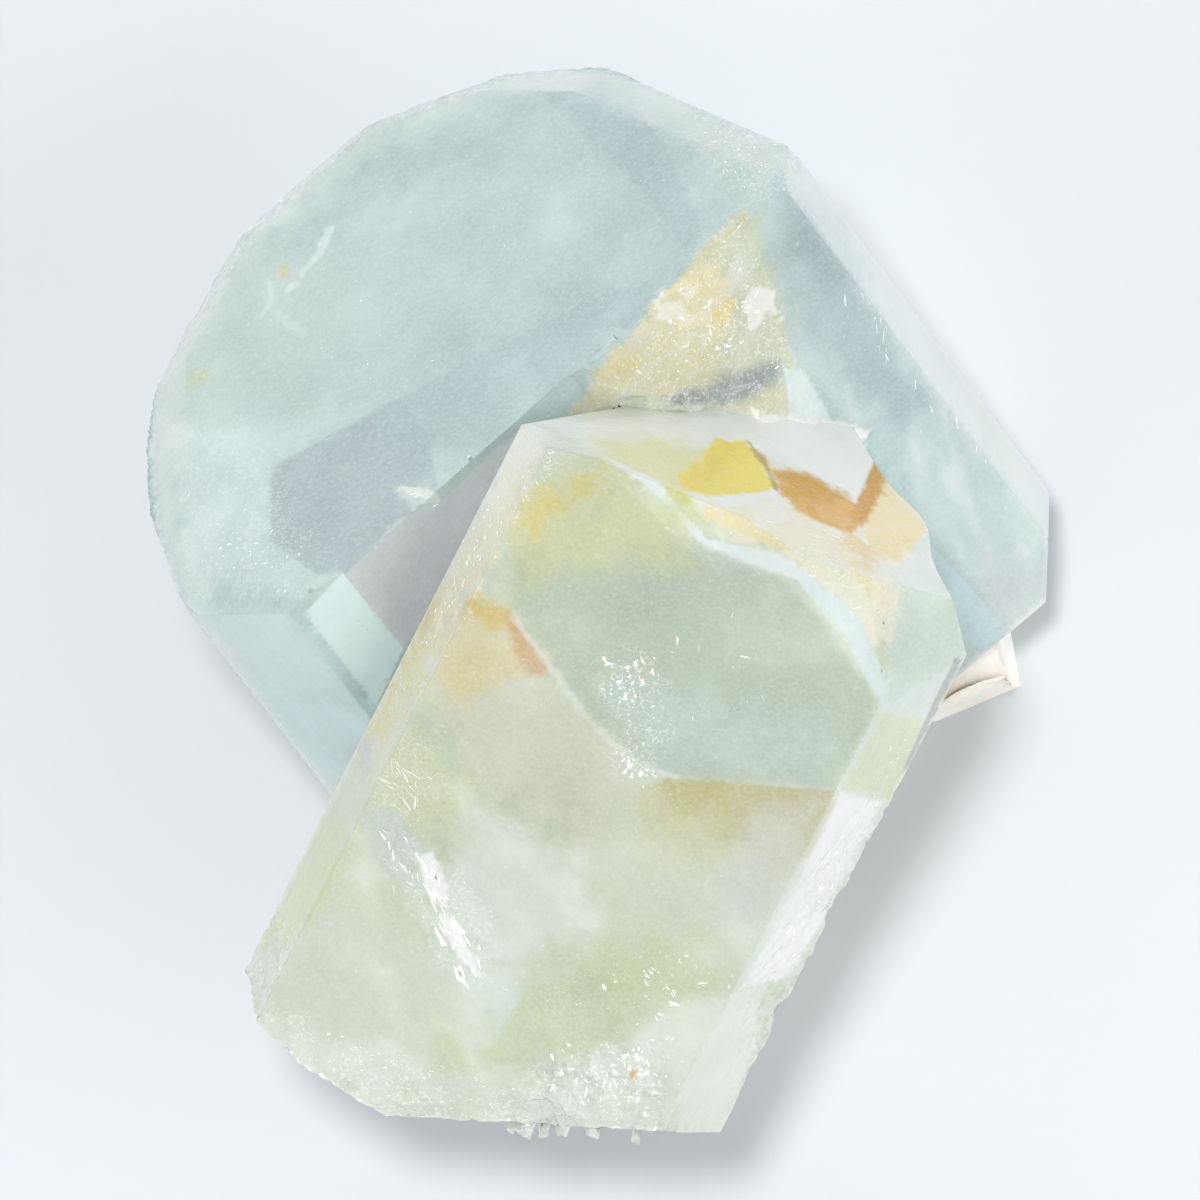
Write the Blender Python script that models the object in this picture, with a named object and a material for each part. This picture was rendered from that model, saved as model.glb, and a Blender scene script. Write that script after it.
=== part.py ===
"""An aquamarine twin crystal on feldspar, lying on its matrix.

A blue prism shows its flat end, which leans back from the viewer above.  A paler, greener prism
grew through it and lies across its lower side.  White feldspar holds both from below.
Units are metres, +Z is up, and the origin is at the middle of the specimen's footprint.
"""

import math
import random

import bmesh
import bpy
from mathutils import Euler, Matrix, Vector, noise

MM = 0.001

# The whole specimen; the shift puts the middle of its footprint at the origin
SHIFT = Vector((0.08, 0.38, 0)) * MM
CONTACT_GAP = 0.3 * MM
CRYSTAL_CUT = 3.0 * MM
BLANK_SIZE = 150 * MM

# The blue crystal: its frame has +Z out of the flat end and +X along that end's longer side
BLUE_CENTRE = Vector((-10.2, 17.2, 26.2)) * MM
BLUE_TURN = Euler((math.radians(-48), 0, math.radians(37.3)))

# The green crystal: its frame has +Z out of the stained end and -Y out of the broad front face
GREEN_CENTRE = Vector((9.8, 6.4, 36.1)) * MM
GREEN_TURN = Euler((math.radians(-68), 0, math.radians(-27.1)))
GREEN_FRONT = -8.5

# Each long face of a prism: the way it looks, in degrees about the crystal's long axis, and its
# distance from that axis in millimetres.  The faces of beryl stand 60 degrees apart.
BLUE_PRISM = ((276, 13.2), (336, 23.1), (36, 18.1), (96, 15.9), (156, 18.7), (216, 22.0))
GREEN_PRISM = ((270, 8.5), (330, 13.9), (30, 10.9), (90, 14.5), (150, 9.9), (210, 14.9))

# Narrow faces between them, which round the blue crystal's far side, and one strip on its near side
BLUE_NARROW = (
    (20, 18.3),
    (50, 17.1),
    (64, 16.4),
    (80, 16.0),
    (113, 16.0),
    (130, 17.1),
    (145, 18.0),
    (168, 19.8),
    (188, 22.2),
    (262, 16.3),
)

# Sloping faces round the rim of the blue flat end: the way each looks, its slope from the flat end
# in degrees, and how far inside the prism face it starts, in millimetres
BLUE_RIM = (
    (20, 26, 2.8),
    (40, 28, 2.4),
    (64, 36, 1.6),
    (96, 34, 1.6),
    (126, 33, 1.9),
    (150, 24, 2.8),
    (172, 22, 3.0),
    (192, 24, 2.6),
    (216, 34, 0.8),
    (336, 40, 0.5),
)

# Where the stained rough crust lies on the blue crystal's near face, in millimetres along the flat
# end and down the long face, and how far it stands up
CRUST_ALONG = (2.2, 17.9)
CRUST_DOWN = 16.0
CRUST_HEIGHT = 1.7
CRUST_CELLS = 18

# Shell-shaped breaks: centre in the green crystal's frame, and radius, in millimetres
GREEN_SCOOPS = (
    ((5.1, -9.2, -38.3), 1.9),
    ((-9.5, 2.0, -48.0), 8.0),
    ((1.5, 3.0, -49.5), 8.5),
    ((17.6, -4.0, -27.5), 3.9),
    ((18.2, -2.4, -20.0), 4.4),
    ((7.0, 10.0, -46.0), 6.0),
)

# The same for the blue crystal, in its own frame
BLUE_SCOOPS = (
    ((-21.5, 9.5, 2.6), 3.4),
    ((-14.0, 15.5, 2.7), 3.6),
    ((-2.0, 18.3, 2.6), 3.4),
    ((9.0, 17.0, 2.8), 3.2),
    ((19.5, 3.5, 2.8), 3.4),
    ((22.0, 2.0, -40.0), 8.0),
    ((12.0, -6.0, -43.5), 7.5),
)

# Needle crystals on the green crystal's broken end
NEEDLE_COUNT = 9
NEEDLE_SIDES = 6
NEEDLE_SEED = 7

# The feldspar: corners of its base, how far each side leans in going up, and its highest point, in
# millimetres and degrees
FELDSPAR_BASE = (
    (-16.8, 4.5),
    (-13.5, 13.5),
    (-8.5, 18.5),
    (3.0, 21.0),
    (10.5, 18.8),
    (20.5, 11.0),
    (22.5, 4.0),
    (21.0, -2.6),
    (18.0, -7.7),
    (8.8, -22.2),
    (-4.0, -23.5),
    (-11.8, -19.0),
    (-16.2, -8.0),
)
FELDSPAR_LEANS = (8, 16, 5, 12, 7, 5, 4, 9, 6, 14, 8, 16, 6)
FELDSPAR_TOP = ((4.0, -4.0, 16.5), (0.24, -0.10, 1.0))

# The corner of feldspar that shows from above, at the lower right
CORNER_BASE = ((16.0, -8.6), (16.0, 1.0), (23.2, 0.5), (23.9, -2.2), (24.5, -5.6), (23.6, -6.2), (19.6, -7.1))
CORNER_LEANS = (5, 5, 5, 4, 9, 6, 5)
CORNER_TOP = ((22.0, -4.0, 8.5), (0.42, -0.25, 1.0))

# Steps where feldspar broke along its two flats that stand nearly square: centre, size and turn
CLEAVAGE_STEPS = (
    ((-19.0, -3.0, 15.0), (14, 13, 16), 18),
    ((-16.5, 12.5, 13.5), (14, 11, 12), 18),
    ((-2.0, 24.5, 12.0), (18, 9, 13), 18),
    ((13.5, 21.0, 13.0), (13, 11, 14), 18),
    ((24.8, 9.0, 13.6), (9, 13, 12), 18),
    ((17.0, -15.5, 14.0), (9, 10, 14), 18),
    ((12.6, -24.2, 12.0), (12, 7, 14), 18),
    ((-7.0, -25.0, 11.0), (15, 8, 10), 18),
    ((-17.0, -16.0, 10.0), (9, 12, 11), 18),
)


def rotation_and_place(turn, centre):
    """The matrix that takes a crystal's own frame to the specimen's."""
    return Matrix.Translation(centre) @ turn.to_matrix().to_4x4()


BLUE_FRAME = rotation_and_place(BLUE_TURN, BLUE_CENTRE)
GREEN_FRAME = rotation_and_place(GREEN_TURN, GREEN_CENTRE)


def new_object(name, bm, collection):
    """Turns a bmesh into an object in one collection, moved to its place about the origin."""
    bm.transform(Matrix.Translation(SHIFT))
    bmesh.ops.recalc_face_normals(bm, faces=bm.faces)
    mesh = bpy.data.meshes.new(name)
    bm.to_mesh(mesh)
    bm.free()
    obj = bpy.data.objects.new(name, mesh)
    collection.objects.link(obj)
    return obj


def new_helper(name, bm, collection):
    """A cutter or a piece to be joined, which isn't shown."""
    obj = new_object(name, bm, collection)
    obj.hide_render = True
    obj.display_type = "WIRE"
    return obj


def mineral(name, colour, transmission, roughness, ior):
    """A Principled material for one mineral."""
    material = bpy.data.materials.new(name)
    material.use_nodes = True
    shader = material.node_tree.nodes["Principled BSDF"]
    shader.inputs["Base Color"].default_value = (*colour, 1.0)
    shader.inputs["Transmission Weight"].default_value = transmission
    shader.inputs["Roughness"].default_value = roughness
    shader.inputs["IOR"].default_value = ior
    material.diffuse_color = (*colour, 1.0)
    return material


def show_in(obj, helpers, specimen):
    """Makes a helper into a piece of the specimen."""
    helpers.objects.unlink(obj)
    specimen.objects.link(obj)
    obj.hide_render = False
    obj.display_type = "TEXTURED"


def combine(target, operation, helper):
    """Adds a Boolean of one helper to the target."""
    modifier = target.modifiers.new(f"{operation.title()} {helper.name}", "BOOLEAN")
    modifier.operation = operation
    modifier.object = helper
    modifier.solver = "EXACT"


def cut_flat(bm, point, normal):
    """Takes away what lies beyond a plane and closes the cut with one flat face."""
    everything = bm.verts[:] + bm.edges[:] + bm.faces[:]
    cut = bmesh.ops.bisect_plane(
        bm, geom=everything, plane_co=point, plane_no=normal, dist=1e-7, clear_outer=True
    )
    rim = [e for e in cut["geom_cut"] if isinstance(e, bmesh.types.BMEdge)]
    if rim:
        bmesh.ops.contextual_create(bm, geom=rim)


def faceted_blank(planes, size=BLANK_SIZE):
    """A cube cut by flat faces, each a point and an outward direction."""
    bm = bmesh.new()
    bmesh.ops.create_cube(bm, size=size)
    for point, normal in planes:
        cut_flat(bm, point, normal)
    return bm


def facing(degrees, slope=90.0):
    """The direction at this angle about the long axis, nearer to the end as slope falls."""
    around, down = math.radians(degrees), math.radians(slope)
    return Vector((math.cos(around) * math.sin(down), math.sin(around) * math.sin(down), math.cos(down)))


def prism_planes(faces):
    """The planes of a prism's long faces."""
    return [(facing(degrees) * reach * MM, facing(degrees)) for degrees, reach in faces]


def plane_through(a, b, c, outward):
    """The plane through three points in millimetres, looking the way outward does."""
    a, b, c = (Vector(p) * MM for p in (a, b, c))
    normal = (b - a).cross(c - a).normalized()
    if normal.dot(Vector(outward)) < 0:
        normal = -normal
    return a, normal


def moved_out(planes, distance):
    """The same planes, moved outwards."""
    return [(point + normal * distance, normal) for point, normal in planes]


def reach_towards(faces, degrees):
    """How far a prism reaches in one direction, up to its nearest long face."""
    towards = facing(degrees)
    ahead = [(towards.dot(facing(at)), reach) for at, reach in faces]
    return min(reach * MM / share for share, reach in ahead if share > 0.2)


def blue_planes():
    """Every face of the blue crystal, in its own frame."""
    faces = BLUE_PRISM + BLUE_NARROW
    planes = prism_planes(faces)
    planes.append((Vector((0, 0, 0)), Vector((0, 0, 1))))
    for degrees, slope, inset in BLUE_RIM:
        start = facing(degrees) * (reach_towards(faces, degrees) - inset * MM)
        planes.append((start, facing(degrees, slope)))
    planes.append(plane_through((21.8, -7.7, -34.9), (20.3, -11.1, -34.3), (18.8, -11.3, -36.6), (1, 0, -1)))
    planes.append(plane_through((16.9, -11.5, -37.7), (-18, -10, -36.5), (0, 10, -36), (0, 0, -1)))
    return planes


def green_planes():
    """Every face of the green crystal, in its own frame."""
    planes = prism_planes(GREEN_PRISM)
    planes.append((Vector((0, 0, 0)), Vector((0, 0, 1))))
    front = GREEN_FRONT
    planes += [
        plane_through((3.6, front, -0.9), (11.0, front, -4.7), (8.6, -5.0, 0), (1, 0, 1)),
        plane_through((11.4, front, -6.0), (14.3, -3.1, -2.5), (8.5, -5.9, 0), (1, 0, 1)),
        plane_through((8.8, 3.2, 0), (14.3, -3.1, -2.5), (11.3, 2.2, -2.5), (1, 0, 1)),
        plane_through((-9.6, front, 0), (-14.3, -5.0, -1.6), (-8.5, -5.0, 0), (-1, 0, 1)),
        plane_through((-14.3, -5.0, -39.5), (-9.0, front, -41.7), (-8.0, 6, -40), (0, 0, -1)),
        plane_through((-9.0, front, -41.7), (-2.4, front, -42.3), (-3.0, 8, -39), (0, 0, -1)),
        plane_through((-3.3, front, -42.2), (11.1, front, -35.3), (14.3, -3.0, -35.8), (0, 0, -1)),
    ]
    return planes


def crystal_body(name, planes, frame, collection, grow=0.0):
    """A prism from its faces, cut off flat below, where the feldspar's floor is."""
    bm = faceted_blank(moved_out(planes, grow))
    bm.transform(frame)
    cut_flat(bm, Vector((0, 0, CRYSTAL_CUT - grow)), Vector((0, 0, -1)))
    return new_helper(name, bm, collection)


def scoop(name, centre, radius, frame, collection):
    """A ball that leaves a shell-shaped break, with the flats that a real break has."""
    bm = bmesh.new()
    bmesh.ops.create_icosphere(bm, subdivisions=2, radius=radius * MM)
    for vert in bm.verts:
        vert.co *= 1 + 0.06 * noise.noise(vert.co / (radius * 0.6 * MM) + Vector(centre))
    bm.transform(frame @ Matrix.Translation(Vector(centre) * MM))
    return new_helper(name, bm, collection)


def step_notch(collection):
    """The stepped break along the green crystal's front upper edge."""
    front = GREEN_FRONT
    left, low, right = (-9.6, front, 0), (-1.6, front, -2.6), (3.8, front, -0.8)
    deep = (-0.4, -6.2, 0)
    planes = [
        plane_through(left, low, deep, (0, 1, -1)),
        plane_through(low, right, deep, (0, 1, -1)),
    ]
    bm = bmesh.new()
    bmesh.ops.create_cube(bm, size=16 * MM)
    bm.transform(Matrix.Translation(Vector((-2, front, 2)) * MM))
    for point, normal in planes:
        cut_flat(bm, point, normal)
    bm.transform(GREEN_FRAME)
    return new_helper("front_edge_notch", bm, collection)


def stained_crust(collection):
    """The rough iron-stained crust between the two crystals: a lumpy sheet on the blue near face."""
    bm = bmesh.new()
    bmesh.ops.create_grid(bm, x_segments=CRUST_CELLS, y_segments=CRUST_CELLS, size=0.5)
    low, high = CRUST_ALONG
    near_face = BLUE_PRISM[0][1]
    for vert in bm.verts:
        across, down = vert.co.x + 0.5, vert.co.y + 0.5
        along = low + (high - low) * across + down * (2.0 * (1 - across) - 3.4 * across)
        edge = min(across * 5, (1 - across) * 5, (1 - down) * 8, 1)
        lumps = noise.fractal(Vector((along, down * CRUST_DOWN, 0)) * 0.4, 0.9, 2.1, 4)
        height = CRUST_HEIGHT * (0.55 + 0.6 * lumps) * edge - 0.2
        near = -near_face + 0.105 * along - height
        crest = 0.5 * edge * noise.noise(Vector((along * 1.3, 0, 5))) if down < 0.01 else -CRUST_DOWN * down
        vert.co = Vector((along, near, crest)) * MM
    extruded = bmesh.ops.extrude_face_region(bm, geom=bm.faces[:])
    for vert in (v for v in extruded["geom"] if isinstance(v, bmesh.types.BMVert)):
        vert.co.y = (-near_face + 3.5) * MM
        vert.co.z = min(vert.co.z, -0.6 * MM)
    bm.transform(BLUE_FRAME)
    return new_helper("stained_crust", bm, collection)


def needle(index, rng, collection):
    """One small six-sided needle that sticks out of the broken end."""
    across = 3.5 + 8.0 * rng.random()
    depth = GREEN_FRONT + 0.9 + 4.0 * rng.random()
    end = -38.4 + 0.48 * (across - 3.5) - 0.37 * (depth - GREEN_FRONT)
    radius = 0.28 + 0.25 * rng.random()
    length = 2.2 + 1.0 * rng.random()
    bm = bmesh.new()
    bmesh.ops.create_cone(
        bm,
        cap_ends=True,
        segments=NEEDLE_SIDES,
        radius1=radius * MM,
        radius2=radius * 0.92 * MM,
        depth=length * MM,
    )
    lean = Euler((rng.uniform(-0.5, 0.3), rng.uniform(-0.4, 0.4), rng.uniform(0, math.pi)))
    bm.transform(Matrix.Translation(Vector((across, depth, end)) * MM) @ lean.to_matrix().to_4x4())
    bm.transform(GREEN_FRAME)
    return new_helper(f"needle_{index:02d}", bm, collection)


def twin_crystal(specimen, helpers):
    """Both crystals, the crust and the needles, grown into one solid."""
    twin = crystal_body("aquamarine_twin", blue_planes(), BLUE_FRAME, helpers)
    show_in(twin, helpers, specimen)
    for index, (centre, radius) in enumerate(BLUE_SCOOPS, 1):
        combine(twin, "DIFFERENCE", scoop(f"blue_scoop_{index}", centre, radius, BLUE_FRAME, helpers))
    combine(twin, "UNION", stained_crust(helpers))
    green = crystal_body("green_crystal", green_planes(), GREEN_FRAME, helpers)
    combine(green, "DIFFERENCE", step_notch(helpers))
    for index, (centre, radius) in enumerate(GREEN_SCOOPS, 1):
        combine(green, "DIFFERENCE", scoop(f"green_scoop_{index}", centre, radius, GREEN_FRAME, helpers))
    rng = random.Random(NEEDLE_SEED)
    for index in range(1, NEEDLE_COUNT + 1):
        combine(green, "UNION", needle(index, rng, helpers))
    combine(twin, "UNION", green)
    twin.data.materials.append(mineral("aquamarine", (0.62, 0.74, 0.72), 0.8, 0.08, 1.577))
    return twin


def rock(name, base, leans, top, collection):
    """A lump with one flat side on each edge of its base and one flat top."""
    planes = [(Vector((0, 0, 0)), Vector((0, 0, -1))), (Vector(top[0]) * MM, Vector(top[1]).normalized())]
    for start, end, lean in zip(base, base[1:] + base[:1], leans):
        along = Vector((end[0] - start[0], end[1] - start[1], 0)).normalized()
        outward = Vector((-along.y, along.x, math.tan(math.radians(lean)))).normalized()
        planes.append((Vector((*start, 0)) * MM, outward))
    return new_helper(name, faceted_blank(planes), collection)


def cleavage_step(index, centre, size, turn, collection):
    """A box that takes one square step out of the feldspar."""
    bm = bmesh.new()
    bmesh.ops.create_cube(bm, size=1.0)
    bm.transform(Matrix.Diagonal((*(Vector(size) * MM), 1)))
    turned = Euler((math.radians(3), math.radians(-3), math.radians(turn))).to_matrix().to_4x4()
    bm.transform(Matrix.Translation(Vector(centre) * MM) @ turned)
    return new_helper(f"cleavage_step_{index}", bm, collection)


def feldspar_matrix(specimen, helpers):
    """The white rock below, with sockets that fit the crystals."""
    matrix = rock("feldspar_matrix", FELDSPAR_BASE, FELDSPAR_LEANS, FELDSPAR_TOP, helpers)
    show_in(matrix, helpers, specimen)
    for index, (centre, size, turn) in enumerate(CLEAVAGE_STEPS, 1):
        combine(matrix, "DIFFERENCE", cleavage_step(index, centre, size, turn, helpers))
    combine(matrix, "UNION", rock("feldspar_corner", CORNER_BASE, CORNER_LEANS, CORNER_TOP, helpers))
    sockets = (("blue_socket", blue_planes(), BLUE_FRAME), ("green_socket", green_planes(), GREEN_FRAME))
    for name, planes, frame in sockets:
        combine(matrix, "DIFFERENCE", crystal_body(name, planes, frame, helpers, grow=CONTACT_GAP))
    matrix.data.materials.append(mineral("feldspar", (0.80, 0.77, 0.70), 0.0, 0.45, 1.525))
    return matrix


def main():
    for obj in list(bpy.data.objects):
        bpy.data.objects.remove(obj)
    specimen = bpy.data.collections.new("aquamarine_on_feldspar")
    helpers = bpy.data.collections.new("cutters")
    for collection in (specimen, helpers):
        bpy.context.scene.collection.children.link(collection)
    twin_crystal(specimen, helpers)
    feldspar_matrix(specimen, helpers)


main()
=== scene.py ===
# %% [markdown]
# # Dressing an aquamarine twin crystal on feldspar
#
# The solids are already measured and cut: two beryl prisms that grew through each other, and a
# lump of white feldspar below them.  This lesson gives them what a solid lacks: a glassy finish,
# the clouds and stains of the stone, chipped rims, sparkling breaks, and the feldspar's pearly
# cleavage steps.

# %% Load the frame
import math

import bmesh
import bpy
import numpy as np
from mathutils import Euler, Matrix, Vector, noise
from mathutils.bvhtree import BVHTree


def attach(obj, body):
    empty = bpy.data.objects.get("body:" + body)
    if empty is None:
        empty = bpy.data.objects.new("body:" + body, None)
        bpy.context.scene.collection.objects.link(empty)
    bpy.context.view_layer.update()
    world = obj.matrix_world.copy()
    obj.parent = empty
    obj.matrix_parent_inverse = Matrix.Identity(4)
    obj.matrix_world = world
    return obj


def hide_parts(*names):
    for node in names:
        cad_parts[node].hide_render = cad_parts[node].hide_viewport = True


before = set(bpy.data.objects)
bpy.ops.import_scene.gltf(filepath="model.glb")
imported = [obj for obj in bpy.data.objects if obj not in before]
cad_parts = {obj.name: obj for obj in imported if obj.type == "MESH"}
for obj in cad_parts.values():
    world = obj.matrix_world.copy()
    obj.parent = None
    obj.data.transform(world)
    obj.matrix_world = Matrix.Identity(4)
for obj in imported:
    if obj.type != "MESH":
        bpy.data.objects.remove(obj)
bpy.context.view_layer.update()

MM = 0.001
print("solids:", sorted(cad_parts))

# %% [markdown]
# ## Two helpers for materials
#
# Colours are written as the hex values that a paint chart or a screen gives.  Blender's shaders
# work in linear light, so one function converts them.  Another adds a node, sets it up and links
# it, which keeps each material short enough to read in one go.

# %% Colour and node helpers
def linear(hex_colour):
    """An sRGB hex colour as linear RGBA."""
    values = [int(hex_colour[i:i + 2], 16) / 255 for i in (0, 2, 4)]
    return (*(v / 12.92 if v <= 0.04045 else ((v + 0.055) / 1.055) ** 2.4 for v in values), 1.0)


def add_node(tree, kind, inputs=None, **settings):
    """Adds one node: settings are its properties, and inputs are values or sockets to link."""
    node = tree.nodes.new("ShaderNode" + kind)
    for key, value in settings.items():
        setattr(node, key, value)
    for key, value in (inputs or {}).items():
        if isinstance(value, bpy.types.NodeSocket):
            tree.links.new(value, node.inputs[key])
        else:
            node.inputs[key].default_value = value
    return node


def new_material(name):
    """An empty material, with its tree and its output node."""
    material = bpy.data.materials.new(name)
    material.use_nodes = True
    material.node_tree.nodes.clear()
    return material, material.node_tree, add_node(material.node_tree, "OutputMaterial")


print("middle grey in linear light:", round(linear("808080")[0], 3))

# %% [markdown]
# ## Where things are
#
# The photograph looks straight down on the specimen, so a mark's place can be given by where it
# is seen.  One function takes a place in the 1200-unit square frame to millimetres on the
# specimen.  Each crystal also has a frame of its own, with Z along the prism, because its faces,
# growth lines and breaks follow that axis and not the table.

# %% Places on the specimen
FRAME_UNITS = 1200
# millimetres in one unit of the frame
VIEW_SCALE = 0.0575
VIEW_CENTRE = (600.0, 598.5)
SHIFT = (0.08, 0.38)


def seen_at(across, down):
    """Millimetres on the specimen for a place in the square frame of the photograph."""
    return ((across - VIEW_CENTRE[0]) * VIEW_SCALE + SHIFT[0],
            (VIEW_CENTRE[1] - down) * VIEW_SCALE + SHIFT[1])


print("middle of the frame is at", seen_at(FRAME_UNITS / 2, FRAME_UNITS / 2), "mm")


# %% Each crystal's own frame
def crystal_frame(centre, tilt, turn):
    """The matrix, in millimetres, of a crystal's own frame."""
    turned = Euler((math.radians(tilt), 0, math.radians(turn))).to_matrix().to_4x4()
    return Matrix.Translation(Vector(centre) + Vector((*SHIFT, 0))) @ turned


BLUE_FRAME = crystal_frame((-10.2, 17.2, 26.2), -48, 37.3)
GREEN_FRAME = crystal_frame((9.8, 6.4, 36.1), -68, -27.1)


def in_frame(matrix, points):
    """Points of an array, given in a crystal's own frame."""
    inverse = np.array(matrix.inverted())
    return points @ inverse[:3, :3].T + inverse[:3, 3]


print("the blue crystal's end is centred at", tuple(round(v, 1) for v in BLUE_FRAME.translation), "mm")

# %% Distance to the green crystal
# each side of the green prism: the way it faces in degrees, and its distance from the axis
GREEN_PRISM = ((270, 8.5), (330, 13.9), (30, 10.9), (90, 14.5), (150, 9.9), (210, 14.9))
GREEN_LENGTH = 50.0
GREEN_END = 0.05
# a point this near to the green crystal belongs to it
GREEN_SKIN = 0.08
STAINED_CORNER = (905, 524)
CORNER_REACH = (1.6, 2.0)
CORNER_STANDS_OUT = 0.95
CORNER_ABOVE = 20


def corner_bulge(points):
    """How far the stained corner of the green crystal's end stands out, as a shift in X."""
    away = (points[:, :2] - np.array(seen_at(*STAINED_CORNER))) / np.array(CORNER_REACH)
    near = np.exp(-(away ** 2).sum(axis=1)) * (points[:, 2] > CORNER_ABOVE)
    return np.column_stack((CORNER_STANDS_OUT * near, np.zeros((len(points), 2))))


def outside_green(points):
    """Millimetres from the green crystal's faces: positive outside, negative within."""
    local = in_frame(GREEN_FRAME, points - corner_bulge(points))
    away = np.maximum(local[:, 2] - GREEN_END, -GREEN_LENGTH - local[:, 2])
    for degrees, reach in GREEN_PRISM:
        around = math.radians(degrees)
        face = local[:, 0] * math.cos(around) + local[:, 1] * math.sin(around) - reach
        away = np.maximum(away, face)
    return away


print("the green crystal's end is centred at", tuple(round(v, 1) for v in GREEN_FRAME.translation), "mm")


# %% Depth inside an outline
def depth_inside(outline, points):
    """Millimetres from a closed outline on the view, positive inside it."""
    xy = points[:, :2]
    corners = np.array([seen_at(*p) for p in outline])
    nearest = np.full(len(xy), 1e9)
    inside = np.zeros(len(xy), bool)
    for start, end in zip(corners, np.roll(corners, -1, axis=0)):
        side = end - start
        share = np.clip(((xy - start) @ side) / (side @ side), 0, 1)
        nearest = np.minimum(nearest, np.hypot(*(xy - start - share[:, None] * side).T))
        crosses = (start[1] > xy[:, 1]) != (end[1] > xy[:, 1])
        height = side[1] if side[1] else 1e-9
        inside ^= crosses & (xy[:, 0] < start[0] + (xy[:, 1] - start[1]) / height * side[0])
    return np.where(inside, nearest, -nearest)


SQUARE = ((500, 500), (700, 500), (700, 700), (500, 700))
print("a square 200 units wide is", depth_inside(SQUARE, np.zeros((1, 3)))[0].round(2), "mm deep")

# %% [markdown]
# ## Where each stain and cloud lies
#
# Iron stains, milky clouds and healed cracks have outlines of their own, some crisp and some
# soft, and so does one dark sliver of painted shade.  Each one is listed with its crystal, colour,
# strength, the softness and raggedness of its edge, and its outline as it is seen from above.  They
# are painted on the points of the mesh, so the mesh is made finer along each crisp edge.  Painting
# an image was the other choice, but it would blur close up and would need unwrapping.

# %% Outlines of the zones
TOP_RIGHT_RIM = ((640, 60), (800, 130), (790, 200), (740, 225), (690, 150))
BLUE_OUTLINE = ((175, 600), (158, 545), (148, 450), (155, 380), (180, 320), (215, 275), (255, 220),
                (300, 178), (365, 125), (430, 98), (500, 75), (560, 66), (600, 62), (640, 76),
                (700, 105), (780, 140), (1052, 500), (1050, 580), (1010, 635), (700, 800), (325, 795))
CRUST_OUTLINE = ((560, 425), (655, 305), (692, 262), (745, 205), (775, 300), (795, 375), (835, 430))
LOWER_BREAK = ((530, 1060), (600, 1040), (660, 1030), (672, 1060), (665, 1160), (540, 1160),
               (520, 1090))
LEFT_BREAK = ((225, 960), (270, 985), (330, 1060), (420, 1075), (520, 1085), (560, 1160),
              (300, 1160))
RIGHT_STRIP = ((862, 790), (900, 780), (930, 740), (800, 1010), (740, 1130), (725, 1000), (790, 890))
print("edge points of the blue crystal:", len(BLUE_OUTLINE))

# %% What a mark is
def mark(crystal, colour, strength, softness, ragged, outline, fade=None):
    """One stain, cloud or painted shade: softness and raggedness of its edge in millimetres, and outline.

    A fade is the line, from one place to another, along which the mark goes from full to none.
    """
    return {"crystal": crystal, "colour": colour, "strength": strength, "softness": softness,
            "ragged": ragged, "outline": outline, "fade": fade}


print("a mark has:", ", ".join(mark("blue", "FFFFFF", 1, 0, 0, ())))

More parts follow.
